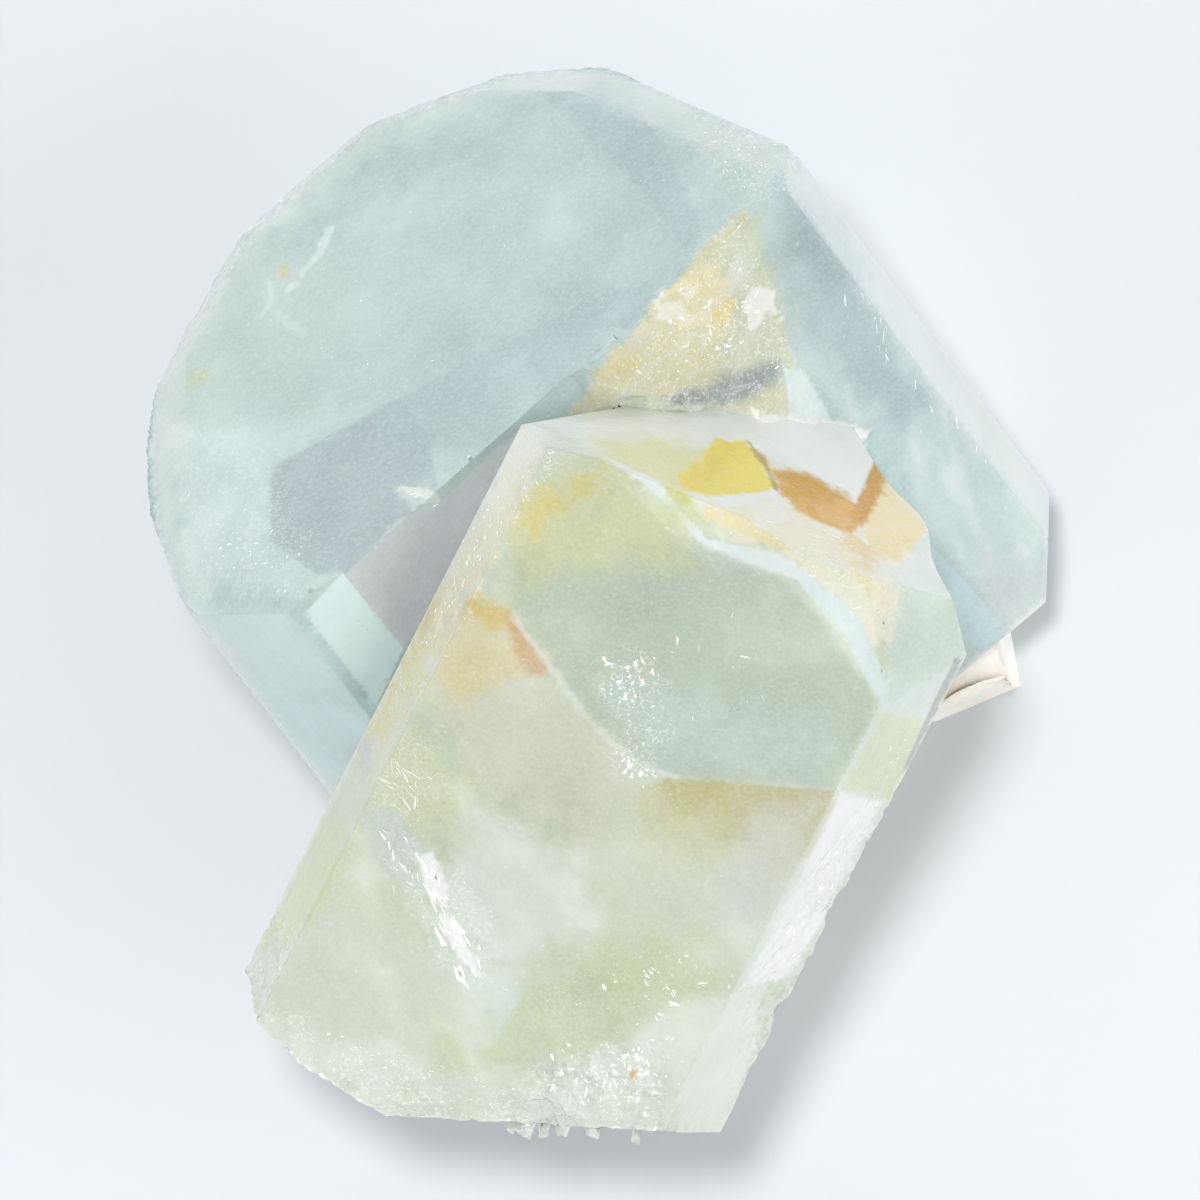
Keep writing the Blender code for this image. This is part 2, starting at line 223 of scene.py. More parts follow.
# %% Marks on the blue crystal
BLUE_MARKS = (
    mark("blue", "94B8AE", 0.9, 0.20, 0.05,
         ((175, 600), (158, 545), (148, 450), (155, 380), (180, 320), (215, 275), (255, 220),
          (300, 178), (365, 125), (430, 98), (500, 75), (560, 66), (640, 76), (640, 30), (480, 40),
          (330, 110), (220, 190), (130, 330), (110, 450), (120, 560), (150, 620))),
    # clouds and inner reflections under the flat end
    mark("blue", "CFDDD3", 0.6, 2.0, 0.5,
         ((165, 330), (250, 225), (335, 290), (330, 420), (200, 420), (158, 400))),
    mark("blue", "B4BFC3", 0.75, 0.12, 0.06,
         ((270, 468), (318, 442), (368, 416), (400, 398), (430, 440), (440, 500), (399, 521),
          (348, 572), (318, 575), (272, 540))),
    mark("blue", "B7C9CB", 0.6, 0.14, 0.04,
         ((368, 416), (470, 362), (600, 297), (705, 262), (690, 290), (620, 345), (525, 425),
          (470, 470), (430, 470)),
         fade=(480, 350, 560, 450)),
    mark("blue", "B7C7CB", 0.6, 0.14, 0.03,
         ((537, 88), (600, 92), (640, 112), (672, 160), (700, 225), (692, 262), (640, 190), (585, 135))),
    mark("blue", "C2D5D4", 0.5, 0.8, 0.3, ((470, 100), (540, 92), (690, 255), (650, 300), (560, 200))),
    mark("blue", "D8E8E5", 0.7, 0.6, 0.4,
         ((170, 420), (270, 425), (368, 408), (275, 462), (265, 540), (300, 590), (190, 590))),
    mark("blue", "C6D6D1", 0.7, 1.2, 0.8,
         ((640, 66), (700, 95), (790, 140), (800, 200), (745, 212), (705, 180), (680, 130))),
    mark("blue", "BED0D0", 0.5, 1.5, 0.8, ((230, 330), (330, 330), (370, 400), (260, 430), (220, 390))),
    # white healed cracks and small iron stains
    mark("blue", "E6F1EF", 0.8, 0.10, 0.08,
         ((317, 250), (325, 226), (334, 225), (325, 252), (300, 278), (298, 272))),
    mark("blue", "DDEAE7", 0.7, 0.10, 0.08,
         ((266, 280), (271, 281), (274, 301), (262, 318), (258, 315), (269, 300))),
    mark("blue", "DDEAE7", 0.6, 0.15, 0.08,
         ((269, 312), (276, 309), (307, 330), (303, 337), (290, 330))),
    mark("blue", "EDF4F1", 0.6, 0.08, 0.05, ((296, 280), (301, 282), (288, 292), (284, 290))),
    mark("blue", "D9CC9A", 0.6, 0.10, 0.1, ((278, 264), (289, 262), (288, 278), (280, 278))),
    mark("blue", "D0D2A8", 0.5, 0.30, 0.2, ((184, 392), (190, 376), (214, 366), (208, 378))),
    mark("blue", "E8F3E4", 0.9, 0.07, 0.1,
         ((396, 484), (438, 494), (446, 506), (430, 501), (396, 490))),
    mark("blue", "DCE8E6", 0.6, 0.15, 0.3, ((398, 490), (432, 500), (450, 540), (420, 520))),
    # the near side
    mark("blue", "DCDFE3", 0.9, 0.10, 0.0,
         ((348, 574), (399, 521), (438, 505), (489, 457), (530, 424), (500, 510), (402, 650))),
    mark("blue", "E6FAF9", 1.0, 0.05, 0.0, ((344, 573), (306, 613), (377, 706), (404, 648))),
    mark("blue", "C8EEEE", 0.8, 0.6, 0.3, ((220, 650), (300, 700), (372, 708), (360, 740), (325, 795))),
    mark("blue", "CBE4E4", 0.8, 0.4, 0.2, ((185, 606), (300, 610), (372, 706), (300, 690), (210, 640))),
    # the right side
    mark("blue", "A2B6BE", 0.85, 0.9, 0.4,
         ((785, 190), (832, 212), (866, 275), (825, 290), (798, 250))),
    mark("blue", "B7C8CD", 0.7, 0.9, 0.5, ((785, 190), (840, 230), (930, 400), (900, 430), (800, 330))),
    mark("blue", "D6EBEE", 1.0, 0.10, 0.0,
         ((905, 505), (928, 540), (1012, 632), (985, 648), (960, 640), (925, 560))),
    mark("blue", "DDE5E5", 0.8, 0.6, 0.3,
         ((975, 560), (1052, 560), (1055, 610), (1010, 640), (990, 610))),
)
print("on the blue crystal:", len(BLUE_MARKS))

# %% Marks on the crust
CRUST_MARKS = (
    mark("blue", "DDDBBC", 1.0, 0.15, 0.12, CRUST_OUTLINE),
    mark("blue", "D0D8C3", 0.8, 0.50, 0.5,
         ((735, 215), (760, 215), (790, 380), (745, 400), (705, 330))),
    mark("blue", "EEE6BE", 0.8, 0.40, 0.5,
         ((650, 310), (700, 262), (735, 290), (725, 340), (690, 330))),
    mark("blue", "DCCF94", 0.6, 0.35, 0.6,
         ((600, 372), (625, 350), (640, 352), (625, 382), (606, 395))),
    mark("blue", "F0DFA4", 0.8, 0.12, 0.4, ((702, 290), (728, 275), (732, 322), (716, 330))),
    mark("blue", "A8B1AE", 0.9, 0.40, 0.2,
         ((612, 428), (660, 402), (715, 380), (760, 362), (785, 364), (778, 385), (730, 402), (650, 425))),
    mark("blue", "9FAAAB", 0.8, 0.25, 0.25,
         ((690, 395), (735, 378), (775, 366), (772, 380), (735, 398), (700, 405))),
    mark("blue", "9DA6A2", 0.8, 0.25, 0.2,
         ((616, 422), (650, 402), (706, 386), (700, 402), (660, 414), (630, 430))),
    mark("blue", "E4F3F3", 0.9, 0.10, 0.0, ((783, 368), (805, 372), (836, 428), (790, 415))),
    mark("blue", "F8F8F4", 0.9, 0.12, 0.5, ((740, 292), (768, 285), (778, 318), (752, 330))),
    mark("blue", "F4F4EC", 0.8, 0.12, 0.5, ((655, 300), (690, 292), (690, 318), (660, 322))),
)
print("on the crust:", len(CRUST_MARKS))

# %% Marks on the green crystal's end
END_MARKS = (
    # the flat end of the green crystal, with its iron films
    mark("green", "F0F5EF", 0.9, 0.30, 0.2,
         ((530, 422), (700, 418), (800, 415), (890, 442), (925, 530), (860, 560), (745, 540), (640, 470))),
    mark("green", "FCFEFA", 0.95, 0.20, 0.1,
         ((750, 412), (860, 426), (886, 447), (856, 498), (800, 470), (768, 440))),
    mark("green", "C8C880", 0.9, 0.50, 0.3,
         ((595, 440), (650, 436), (705, 450), (692, 512), (706, 528), (686, 512), (650, 480), (610, 462))),
    mark("green", "E6DBB0", 0.9, 0.25, 0.3,
         ((700, 512), (780, 500), (860, 540), (890, 590), (880, 610), (820, 575), (745, 540))),
    mark("green", "E2BF34", 1.0, 0.14, 0.12,
         ((676, 475), (700, 462), (716, 438), (745, 442), (764, 462), (776, 488), (742, 496),
          (720, 496), (686, 494))),
    mark("green", "C9A238", 0.5, 0.4, 0.6,
         ((676, 478), (715, 462), (722, 470), (712, 490), (688, 490))),
    mark("green", "B46600", 1.0, 0.22, 0.12,
         ((757, 450), (772, 468), (806, 474), (850, 498), (866, 520), (850, 536), (812, 522), (780, 494))),
    mark("green", "9C5A08", 0.6, 0.30, 0.3,
         ((772, 468), (800, 474), (845, 498), (830, 505), (790, 490))),
    mark("green", "7E6014", 0.9, 0.05, 0.08,
         ((744, 440), (750, 441), (776, 478), (778, 492), (772, 490), (762, 466))),
    mark("green", "E6CB86", 0.95, 0.15, 0.1,
         ((888, 446), (905, 475), (926, 530), (895, 565), (866, 548), (860, 520))),
    mark("green", "A85A00", 1.0, 0.10, 0.02,
         ((854, 506), (881, 446), (892, 450), (888, 478), (860, 530))),
    mark("green", "C98734", 0.6, 0.25, 0.4, ((800, 500), (846, 506), (852, 526), (822, 524))),
    mark("green", "D6A25E", 0.7, 0.30, 0.5, ((836, 530), (862, 530), (880, 572), (862, 580))),
    mark("green", "F2EDDC", 0.8, 0.08, 0.15, ((748, 505), (785, 500), (790, 520), (755, 528))),
    mark("green", "E7E7D4", 0.9, 0.25, 0.2,
         ((700, 526), (745, 538), (800, 555), (850, 572), (884, 610), (870, 645), (840, 600),
          (800, 574), (745, 552))),
    # the stepped chip along its front edge, and the pale facet beside it
    mark("green", "E6EFEE", 0.95, 0.07, 0.02,
         ((598, 455), (625, 466), (658, 482), (680, 512), (706, 539), (745, 547), (776, 553),
          (806, 572), (800, 582), (775, 572), (717, 574), (696, 541), (668, 507), (640, 482))),
    mark("green", "DCE8EA", 0.8, 0.15, 0.04,
         ((800, 569), (858, 617), (888, 690), (882, 712), (840, 628), (798, 584))),
    mark("green", "D2DFD8", 0.8, 0.20, 0.1,
         ((890, 600), (925, 530), (966, 655), (926, 716), (880, 712))),
    mark("green", "E9E6D6", 0.7, 0.3, 0.5, ((862, 570), (900, 560), (890, 640), (870, 640))),
)
print("on the end:", len(END_MARKS))

# %% Marks on the green crystal's front
FRONT_MARKS = (
    # the clear window and the yellow cloud above it
    mark("green", "BECABA", 0.9, 0.25, 0.15,
         ((515, 560), (600, 500), (690, 540), (790, 585), (835, 640), (876, 700), (832, 788),
          (740, 780), (667, 773), (616, 748), (559, 674), (513, 623))),
    mark("green", "D0D4B0", 0.9, 0.9, 0.4,
         ((515, 495), (590, 465), (680, 510), (695, 570), (560, 570), (512, 600))),
    mark("green", "DDD08A", 0.75, 0.7, 0.5,
         ((508, 535), (525, 500), (552, 488), (600, 470), (580, 495), (535, 535))),
    mark("green", "C6D5D0", 0.6, 0.9, 0.5,
         ((600, 680), (700, 690), (830, 720), (820, 780), (660, 765))),
    # the amber wing on the left, and its pink lower part
    mark("green", "D9D8CA", 0.6, 1.0, 0.6,
         ((440, 620), (540, 665), (640, 770), (600, 850), (500, 800), (430, 720))),
    mark("green", "DACD9C", 0.6, 0.90, 0.6,
         ((463, 586), (511, 620), (545, 665), (520, 672), (463, 706), (431, 677))),
    mark("green", "D9C070", 0.7, 0.35, 0.3,
         ((464, 590), (500, 606), (508, 626), (484, 622), (466, 606))),
    mark("green", "D9CFA4", 0.45, 0.9, 0.6,
         ((462, 660), (500, 640), (512, 655), (470, 690), (452, 700))),
    mark("green", "CBA27A", 0.7, 0.28, 0.12,
         ((508, 616), (528, 634), (547, 668), (546, 676), (528, 676), (514, 650))),
    mark("green", "C99A1E", 0.9, 0.30, 0.10,
         ((432, 600), (437, 602), (418, 660), (394, 690), (388, 686))),
    mark("green", "CDD2B0", 0.7, 0.6, 0.8,
         ((378, 722), (431, 745), (470, 783), (463, 835), (409, 820), (374, 780))),
    mark("green", "C0C7C6", 0.8, 0.15, 0.15, ((358, 741), (377, 733), (370, 770), (364, 780))),
    mark("green", "C5CDCB", 0.8, 0.35, 0.3,
         ((355, 811), (393, 808), (419, 846), (422, 895), (377, 862))),
    mark("green", "C7D3A6", 0.8, 0.7, 0.6,
         ((316, 815), (352, 822), (345, 860), (300, 930), (255, 950), (290, 870))),
    # the brown band: a crisp upper edge that fades downwards
    mark("green", "C2BD92", 0.8, 0.12, 0.03,
         ((640, 786), (667, 777), (740, 782), (838, 790), (820, 870), (700, 900), (660, 880), (640, 830)),
         fade=(760, 785, 720, 885)),
    mark("green", "C8C49C", 0.6, 1.6, 0.3,
         ((630, 800), (700, 785), (760, 800), (735, 850), (650, 860))),
    mark("green", "BFB270", 0.4, 0.6, 0.4,
         ((664, 782), (720, 784), (725, 800), (690, 812), (668, 800))),
    mark("green", "D9DAD6", 0.6, 0.9, 0.5,
         ((760, 810), (815, 800), (770, 910), (700, 930), (730, 860))),
    # clouds and green patches below
    mark("green", "E4EBE3", 0.8, 1.0, 0.6,
         ((470, 800), (590, 860), (600, 930), (545, 940), (510, 990), (440, 900))),
    mark("green", "CAD1B3", 0.8, 0.5, 0.8,
         ((425, 1015), (499, 1035), (528, 985), (601, 952), (646, 957), (639, 1003), (614, 1055),
          (520, 1062), (430, 1065))),
    mark("green", "CAD2AF", 0.7, 0.9, 0.8,
         ((600, 940), (700, 930), (735, 980), (660, 1010), (620, 1000))),
    mark("green", "F0F2E2", 0.85, 0.3, 0.4,
         ((523, 425), (552, 425), (505, 520), (462, 590), (436, 595))),
    mark("green", "D2CB96", 0.85, 0.3, 0.4,
         ((438, 580), (468, 580), (440, 660), (385, 742), (362, 742))),
    mark("green", "E2EAE2", 0.5, 0.5, 0.6,
         ((405, 850), (440, 840), (490, 950), (492, 1000), (430, 960))),
    mark("green", "FFFFFF", 1.0, 0.10, 0.12,
         ((416, 858), (434, 850), (448, 882), (446, 908), (430, 892))),
    mark("green", "FFFFFF", 1.0, 0.10, 0.15,
         ((440, 912), (458, 925), (482, 976), (470, 968), (446, 935))),
    mark("green", "D8E4DC", 0.8, 0.20, 0.08, ((480, 978), (527, 985), (498, 1034))),
    mark("green", "FDFEFB", 1.0, 0.25, 0.1,
         ((840, 790), (880, 800), (858, 850), (800, 960), (783, 978), (740, 988), (790, 895))),
    mark("green", "CDD4A8", 0.85, 0.25, 0.2, ((880, 714), (926, 716), (893, 798), (842, 788))),
    mark("green", "E6EDE3", 0.8, 0.4, 0.6,
         ((535, 1075), (620, 1040), (690, 1000), (765, 985), (740, 1060), (668, 1125), (640, 1140),
          (560, 1140))),
    mark("green", "DDE6D8", 0.9, 0.25, 0.1, ((672, 1120), (700, 1040), (765, 1020), (722, 1135))),
    mark("green", "E9E3BC", 0.8, 0.15, 0.4,
         ((510, 470), (540, 462), (520, 510), (480, 580), (445, 620), (425, 640), (460, 560))),
    # painted shade: a dark sliver where the green crystal's right side is seen edge-on in shade
    mark("green", "8F9693", 0.8, 0.08, 0.03,
         ((953, 657), (966, 661), (932, 728), (912, 766), (901, 770), (925, 715))),
    mark("green", "E9F0E9", 0.5, 0.10, 0.10,
         ((512, 617), (515, 615), (561, 675), (597, 725), (640, 760), (678, 775), (677, 779),
          (637, 765), (594, 730), (557, 680))),
    mark("green", "E0A560", 0.9, 0.10, 0.1, ((629, 1067), (637, 1068), (636, 1078), (630, 1077))),
)
print("on the front:", len(FRONT_MARKS))

# %% Flecked and streaked zones
MARKS = BLUE_MARKS + CRUST_MARKS + END_MARKS + FRONT_MARKS
FLECKED = (
    # how strongly white flecks show, and where
    (0.6, ((590, 680), (630, 642), (672, 680), (668, 740), (650, 785), (615, 775), (608, 730))),
    (0.7, ((400, 840), (480, 880), (500, 985), (430, 960))),
    (0.15, ((525, 960), (640, 940), (760, 900), (760, 1000), (660, 1030), (540, 1080))),
    (0.7,
     ((250, 985), (330, 1030), (480, 1090), (600, 1060), (670, 1050), (660, 1140), (380, 1130),
      (290, 1060))),
    (0.4, ((365, 725), (440, 730), (450, 800), (410, 850), (370, 800))),
    (0.7, ((520, 425), (600, 425), (540, 480), (470, 600), (400, 720), (370, 730), (430, 600))),
    (0.6, ((640, 66), (700, 90), (790, 140), (800, 200), (750, 210), (700, 140))),
    (0.6, ((840, 790), (890, 790), (860, 870), (780, 985), (735, 990), (790, 895))),
    (0.25, ((700, 510), (780, 500), (860, 540), (920, 520), (900, 620), (850, 640), (800, 570))),
    (0.55, CRUST_OUTLINE),
    (0.4, ((160, 420), (260, 420), (330, 560), (300, 610), (180, 600))),
)
STREAKED = ((785, 175), (815, 175), (1052, 500), (1050, 600), (1010, 635), (925, 545), (890, 445),
            (832, 425), (790, 330))
print("stains and clouds:", len(MARKS))

# %% [markdown]
# ## A finer skin for the crystals
#
# The solid has a few hundred large flat faces.  Chips and breaks need a mesh fine enough to
# carry them, so the Remesh modifier in its Sharp mode makes even cells of about half a millimetre
# and keeps the crystal's edges crisp.  Voxel remeshing was the other choice, but it rounds every
# edge, and beryl's edges are sharp.  Cells in the rough zones are then split once more, and those
# along the crisp edge of a stain twice.

# %% Remesh a node
CELL_DEPTH = 7
MESH_SCALE = 0.96


def remeshed(node, name, depth):
    """A copy of a node's mesh, made of even cells."""
    copy = node.copy()
    copy.data = node.data.copy()
    bpy.context.scene.collection.objects.link(copy)
    modifier = copy.modifiers.new("cells", "REMESH")
    modifier.mode = "SHARP"
    modifier.octree_depth = depth
    modifier.scale = MESH_SCALE
    modifier.use_remove_disconnected = False
    evaluated = copy.evaluated_get(bpy.context.evaluated_depsgraph_get())
    mesh = bpy.data.meshes.new_from_object(evaluated)
    mesh.name = name
    mesh.materials.clear()
    bpy.data.objects.remove(copy)
    obj = bpy.data.objects.new(name, mesh)
    bpy.context.scene.collection.objects.link(obj)
    return obj


twin = remeshed(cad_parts["aquamarine_twin"], "aquamarine_crystals", CELL_DEPTH)
print("cells before any cut:", len(twin.data.polygons))


# %% Mesh helpers
def positions(mesh):
    """Vertex positions in millimetres."""
    values = np.empty(len(mesh.vertices) * 3, np.float32)
    mesh.vertices.foreach_get("co", values)
    return values.reshape(-1, 3).astype(float) / MM


def normals(mesh):
    """Vertex normals."""
    values = np.empty(len(mesh.vertices) * 3, np.float32)
    mesh.vertices.foreach_get("normal", values)
    return values.reshape(-1, 3).astype(float)


def set_positions(mesh, points):
    """Puts vertex positions, in millimetres, back on a mesh."""
    mesh.vertices.foreach_set("co", (points * MM).astype(np.float32).ravel())
    mesh.update()


def smooth_step(values, low, high):
    """0 below low, 1 above high, and a soft step between."""
    t = np.clip((values - low) / (high - low), 0, 1)
    return t * t * (3 - 2 * t)


print("half way up a smooth step:", smooth_step(np.array(0.5), 0, 1))

# %% How broken each zone is
RIM_DEPTH = 2.5
RIM_BREAK = 0.32
TOP_RIGHT_BREAK = 0.2
CRUST_BREAK = 0.16
FAR_END_BREAK = 0.5
GREEN_BREAKS = ((LOWER_BREAK, 0.6), (LEFT_BREAK, 0.36), (RIGHT_STRIP, 0.32))
# along the green crystal, where its far end starts to break and where it is all broken
FAR_END = (33.2, 36.5)
# a face that looks further down than this belongs to the underside, which is broken less
LOOKS_DOWN = -0.2
UNDERSIDE_SHARE = 0.35
BLUE_SIDE = 0.1


def within(outline, points, low, high):
    """0 outside an outline and 1 inside it, with a soft step between two depths in millimetres."""
    return smooth_step(depth_inside(outline, points), low, high)


def roughness_of(points, up):
    """How broken the surface is at each point, from 0 for a grown face to 1."""
    near_end = in_frame(BLUE_FRAME, points)[:, 2] > -RIM_DEPTH
    rim_near = smooth_step(-depth_inside(BLUE_OUTLINE, points), -1.3, -0.1) * near_end
    top_right = within(TOP_RIGHT_RIM, points, -0.3, 0.6) * near_end
    crust = within(CRUST_OUTLINE, points, -0.2, 0.5)
    blue_rough = np.max([RIM_BREAK * rim_near, TOP_RIGHT_BREAK * top_right, CRUST_BREAK * crust], axis=0)
    green = in_frame(GREEN_FRAME, points)
    far_end = smooth_step(-green[:, 2], *FAR_END) * (green[:, 1] > -8.2) * (points[:, 0] < 4.5)
    breaks = [amount * within(outline, points, -0.3, 0.8) for outline, amount in GREEN_BREAKS]
    green_rough = np.max([FAR_END_BREAK * far_end, *breaks], axis=0)
    rough = np.where(outside_green(points) > BLUE_SIDE, blue_rough, green_rough)
    return np.where(up, rough, UNDERSIDE_SHARE * rough)


print("roughest zone:", max(amount for _, amount in GREEN_BREAKS))

# %% Distance to the crisp edges
CRISP = 0.3
# a mark ends on the crystal's underside and where the two crystals meet, more crisply than elsewhere
CUT_OFF = 12
LEAST_UPWARD = 0.02
BLUE_FROM = 0.05
GREEN_UP_TO = 0.25


def depth_of(spot, points, upward, away):
    """Millimetres inside a mark, on the upper side of its own crystal."""
    own_side = CUT_OFF * (away - BLUE_FROM if spot["crystal"] == "blue" else GREEN_UP_TO - away)
    return np.minimum(np.minimum(depth_inside(spot["outline"], points), upward), own_side)


def edge_distance(mesh):
    """Millimetres from each point to the nearest crisp edge of a mark."""
    points = positions(mesh)
    upward = (normals(mesh)[:, 2] - LEAST_UPWARD) * CUT_OFF
    away = outside_green(points)
    crisp = [spot for spot in MARKS if spot["softness"] <= CRISP]
    return np.min([np.abs(depth_of(spot, points, upward, away)) for spot in crisp], axis=0)


print("crisp marks:", sum(spot["softness"] <= CRISP for spot in MARKS), "of", len(MARKS))

# %% Cut the rough cells and the crisp edges finer
ROUGH_ENOUGH = 0.25
EDGE_REACH = (0.20, 0.063)
CRUST_ROUNDS = 6
CRUST_ABOVE = 15


def split_cells(mesh, chosen):
    """Cuts in two the mesh edges that touch the chosen points."""
    mesh_edit = bmesh.new()
    mesh_edit.from_mesh(mesh)
    edges = [e for e in mesh_edit.edges if chosen[e.verts[0].index] or chosen[e.verts[1].index]]
    bmesh.ops.subdivide_edges(mesh_edit, edges=edges, cuts=1, use_grid_fill=True)
    mesh_edit.to_mesh(mesh)
    mesh_edit.free()


def smoothed(mesh, chosen, rounds):
    """Softens the chosen part of a mesh."""
    mesh_edit = bmesh.new()
    mesh_edit.from_mesh(mesh)
    verts = [v for v in mesh_edit.verts if chosen[v.index]]
    for _ in range(rounds):
        bmesh.ops.smooth_vert(mesh_edit, verts=verts, factor=0.5, use_axis_x=True, use_axis_y=True,
                              use_axis_z=True)
    mesh_edit.to_mesh(mesh)
    mesh_edit.free()


points = positions(twin.data)
rough = roughness_of(points, normals(twin.data)[:, 2] > LOOKS_DOWN)
on_crust = (depth_inside(CRUST_OUTLINE, points) > 0.2) & (outside_green(points) > 0.5)
smoothed(twin.data, on_crust & (points[:, 2] > CRUST_ABOVE), CRUST_ROUNDS)
split_cells(twin.data, rough > ROUGH_ENOUGH)
for reach in EDGE_REACH:
    split_cells(twin.data, edge_distance(twin.data) < reach)
print("cells on the twin:", len(twin.data.polygons))

# %% [markdown]
# ## Chips and breaks
#
# Beryl breaks with shell-shaped, uneven surfaces.  Each rough point is pushed in along its
# normal by two sizes of noise: ridges about 2 mm apart and splinters about 0.6 mm apart.  It is
# pushed in and never out, because what is broken has lost material.  Sculpting by hand was the
# other choice, but noise can be changed with one number.  Only the stained corner of the green
# crystal's end moves out, by up to a millimetre, because it is fuller there than a flat prism.

# %% Push the rough zones in
# how far apart the breaks are, and how deep at the roughest, in millimetres
RIDGE_SIZE = 2.1
RIDGE_DEPTH = 0.4
SPLINTER_SIZE = 0.62
SPLINTER_DEPTH = 0.45


def lumps(points, size, seed, ridged=False):
    """Noise at each point, 0 to 1, with features of the given size in millimetres."""
    shift = Vector((seed, seed * 0.7, -seed))
    values = np.array([noise.noise(Vector(p) / size + shift) for p in points])
    return 1 - np.abs(values) * 1.6 if ridged else 0.5 + 0.5 * values


points = positions(twin.data)
facing_out = normals(twin.data)
rough = roughness_of(points, facing_out[:, 2] > LOOKS_DOWN)
broken = np.nonzero(rough > 0.01)[0]
coarse = lumps(points[broken], RIDGE_SIZE, 3.0, ridged=True)
fine = lumps(points[broken], SPLINTER_SIZE, 8.0, ridged=True)
push = rough[broken] * (RIDGE_DEPTH * (1 - coarse) + SPLINTER_DEPTH * (1 - fine))
points[broken] -= facing_out[broken] * push[:, None]
points += corner_bulge(points)
set_positions(twin.data, points)
print("broken points:", len(broken), "deepest:", round(float(push.max()), 2), "mm")

# %% [markdown]
# ## Painting the crystals
#
# Milky beryl glows from within: light that went in at the top leaves at the sides, so a steep side
# looks lighter and paler than the same stone seen from above.  That glow is painted light: each
# colour is lightened by how steep its face is, then laid on the points in order, from the body
# colour to the last small stain.  Painted points cost the renderer one lookup, where a mask for
# each mark would be slow.

# %% Painting helpers
def store_mark(mesh, name, values):
    """Keeps one value per vertex on the mesh."""
    attribute = mesh.attributes.new(name, "FLOAT", "POINT")
    attribute.data.foreach_set("value", values.astype(np.float32))


def store_colour(mesh, name, colours):
    """Keeps one colour per vertex on the mesh."""
    attribute = mesh.attributes.new(name, "FLOAT_COLOR", "POINT")
    opaque = np.column_stack((colours, np.ones(len(colours))))
    attribute.data.foreach_set("color", opaque.astype(np.float32).ravel())


def painted(under, over, share):
    """Mixes one colour per point over another."""
    return under + (over - under) * share[:, None]


print("half of white over black:", painted(np.zeros((1, 3)), np.ones((1, 3)), np.array([0.5]))[0])

# %% Measure the points
# powers of a colour: one below 1 lightens it, and one above 1 deepens it
# painted light: a steep side's colour is lightened, standing in for light from within that leaves at the
# sides
SIDE_GLOW_LIFT = 0.30
LIFT_TOP = {"blue": 1.15, "green": 1.02}
# how much further from grey a colour is moved
PURER = {"blue": 1.12, "green": 1.22}
points = positions(twin.data)
steepness = normals(twin.data)[:, 2]
upward = (steepness - LEAST_UPWARD) * CUT_OFF
upright = smooth_step(steepness, 0.15, 0.8)
away = outside_green(points)
is_green = away < GREEN_SKIN
# noise of several sizes in millimetres, each with a seed of its own
broad = lumps(points, 14, 40.0)
middle = 0.65 * lumps(points, 4.5, 50.0) + 0.35 * lumps(points, 1.8, 60.0)
wander = lumps(points, 1.3, 70.0) - 0.5
splinter = lumps(points, 0.4, 90.0) - 0.5
cloudy = 1 + 0.3 * (middle - 0.5) + 0.12 * splinter
print("points of the green crystal:", int(is_green.sum()), "of", len(points))


# %% Body colours
def shown(hex_colour):
    """A colour as it shows at each point: mottled, and lightened on a steep side as painted light."""
    top, purer = (np.where(is_green, v["green"], v["blue"]) for v in (LIFT_TOP, PURER))
    exponent = SIDE_GLOW_LIFT + (top - SIDE_GLOW_LIFT) * upright
    lighter = (np.array(linear(hex_colour)[:3]) * cloudy[:, None]) ** exponent[:, None]
    grey = lighter.mean(axis=1, keepdims=True)
    return np.clip(grey + (lighter - grey) * purer[:, None], 0, 1)


# the blue crystal, with a paler rim, painted light over its right side, and white veils along it
ALONG_VEILS = (0.32, -0.92, -0.25)
ACROSS_VEILS = (0.94, 0.33, 0.0)
VEIL_WIDTH = 0.75
blue = painted(shown("CADBD8"), shown("C1D4D3"), smooth_step(broad, 0.35, 0.65))
blue = painted(blue, shown("D2E2DE"), 0.45 * smooth_step(middle, 0.5, 0.8))
rim = 2.2 - depth_inside(BLUE_OUTLINE, points) + 3.0 * wander
blue = painted(blue, shown("DCE9E3"), 0.5 * smooth_step(rim, -0.6, 1.4))
along = points @ np.array(ALONG_VEILS)
across = points @ np.array(ACROSS_VEILS)
streaks = lumps(np.column_stack((across, 0.13 * along, 0.05 * points[:, 2])), VEIL_WIDTH, 80.0)
streaked = np.minimum(np.minimum(depth_inside(STREAKED, points), upward), CUT_OFF * (away - BLUE_FROM))
veils_and_painted_light = smooth_step(streaked, 0, 1)
# painted light: the whole right side is lightened first, as if it were lit more strongly
blue = painted(blue, shown("DEECEC"), 0.45 * veils_and_painted_light)
blue = painted(blue, shown("E6EEEE"), 0.65 * veils_and_painted_light * smooth_step(streaks, 0.5, 0.68))
# the greener crystal, with milky clouds
green = painted(shown("D6DECF"), shown("CBD4BD"), smooth_step(broad, 0.35, 0.65))
green = painted(green, shown("DFE6DC"), 0.7 * smooth_step(middle, 0.5, 0.72))
colour = painted(blue, green, is_green.astype(float))
print("mean body colour:", colour.mean(axis=0).round(2))


# %% Lay the marks on
RAGGED_REACH = 3.5


def strength_of(spot):
    """How strong a mark is at each point: mottled, and fading along its fade line if it has one."""
    strength = spot["strength"] * np.clip(1.15 - 0.9 * np.abs(wander), 0, 1)
    if spot["fade"]:
        start = np.array(seen_at(*spot["fade"][:2]))
        way = np.array(seen_at(*spot["fade"][2:])) - start
        along = ((points[:, :2] - start) @ way) / (way @ way)
        strength = strength * (1 - smooth_step(along, 0, 1))
    return strength


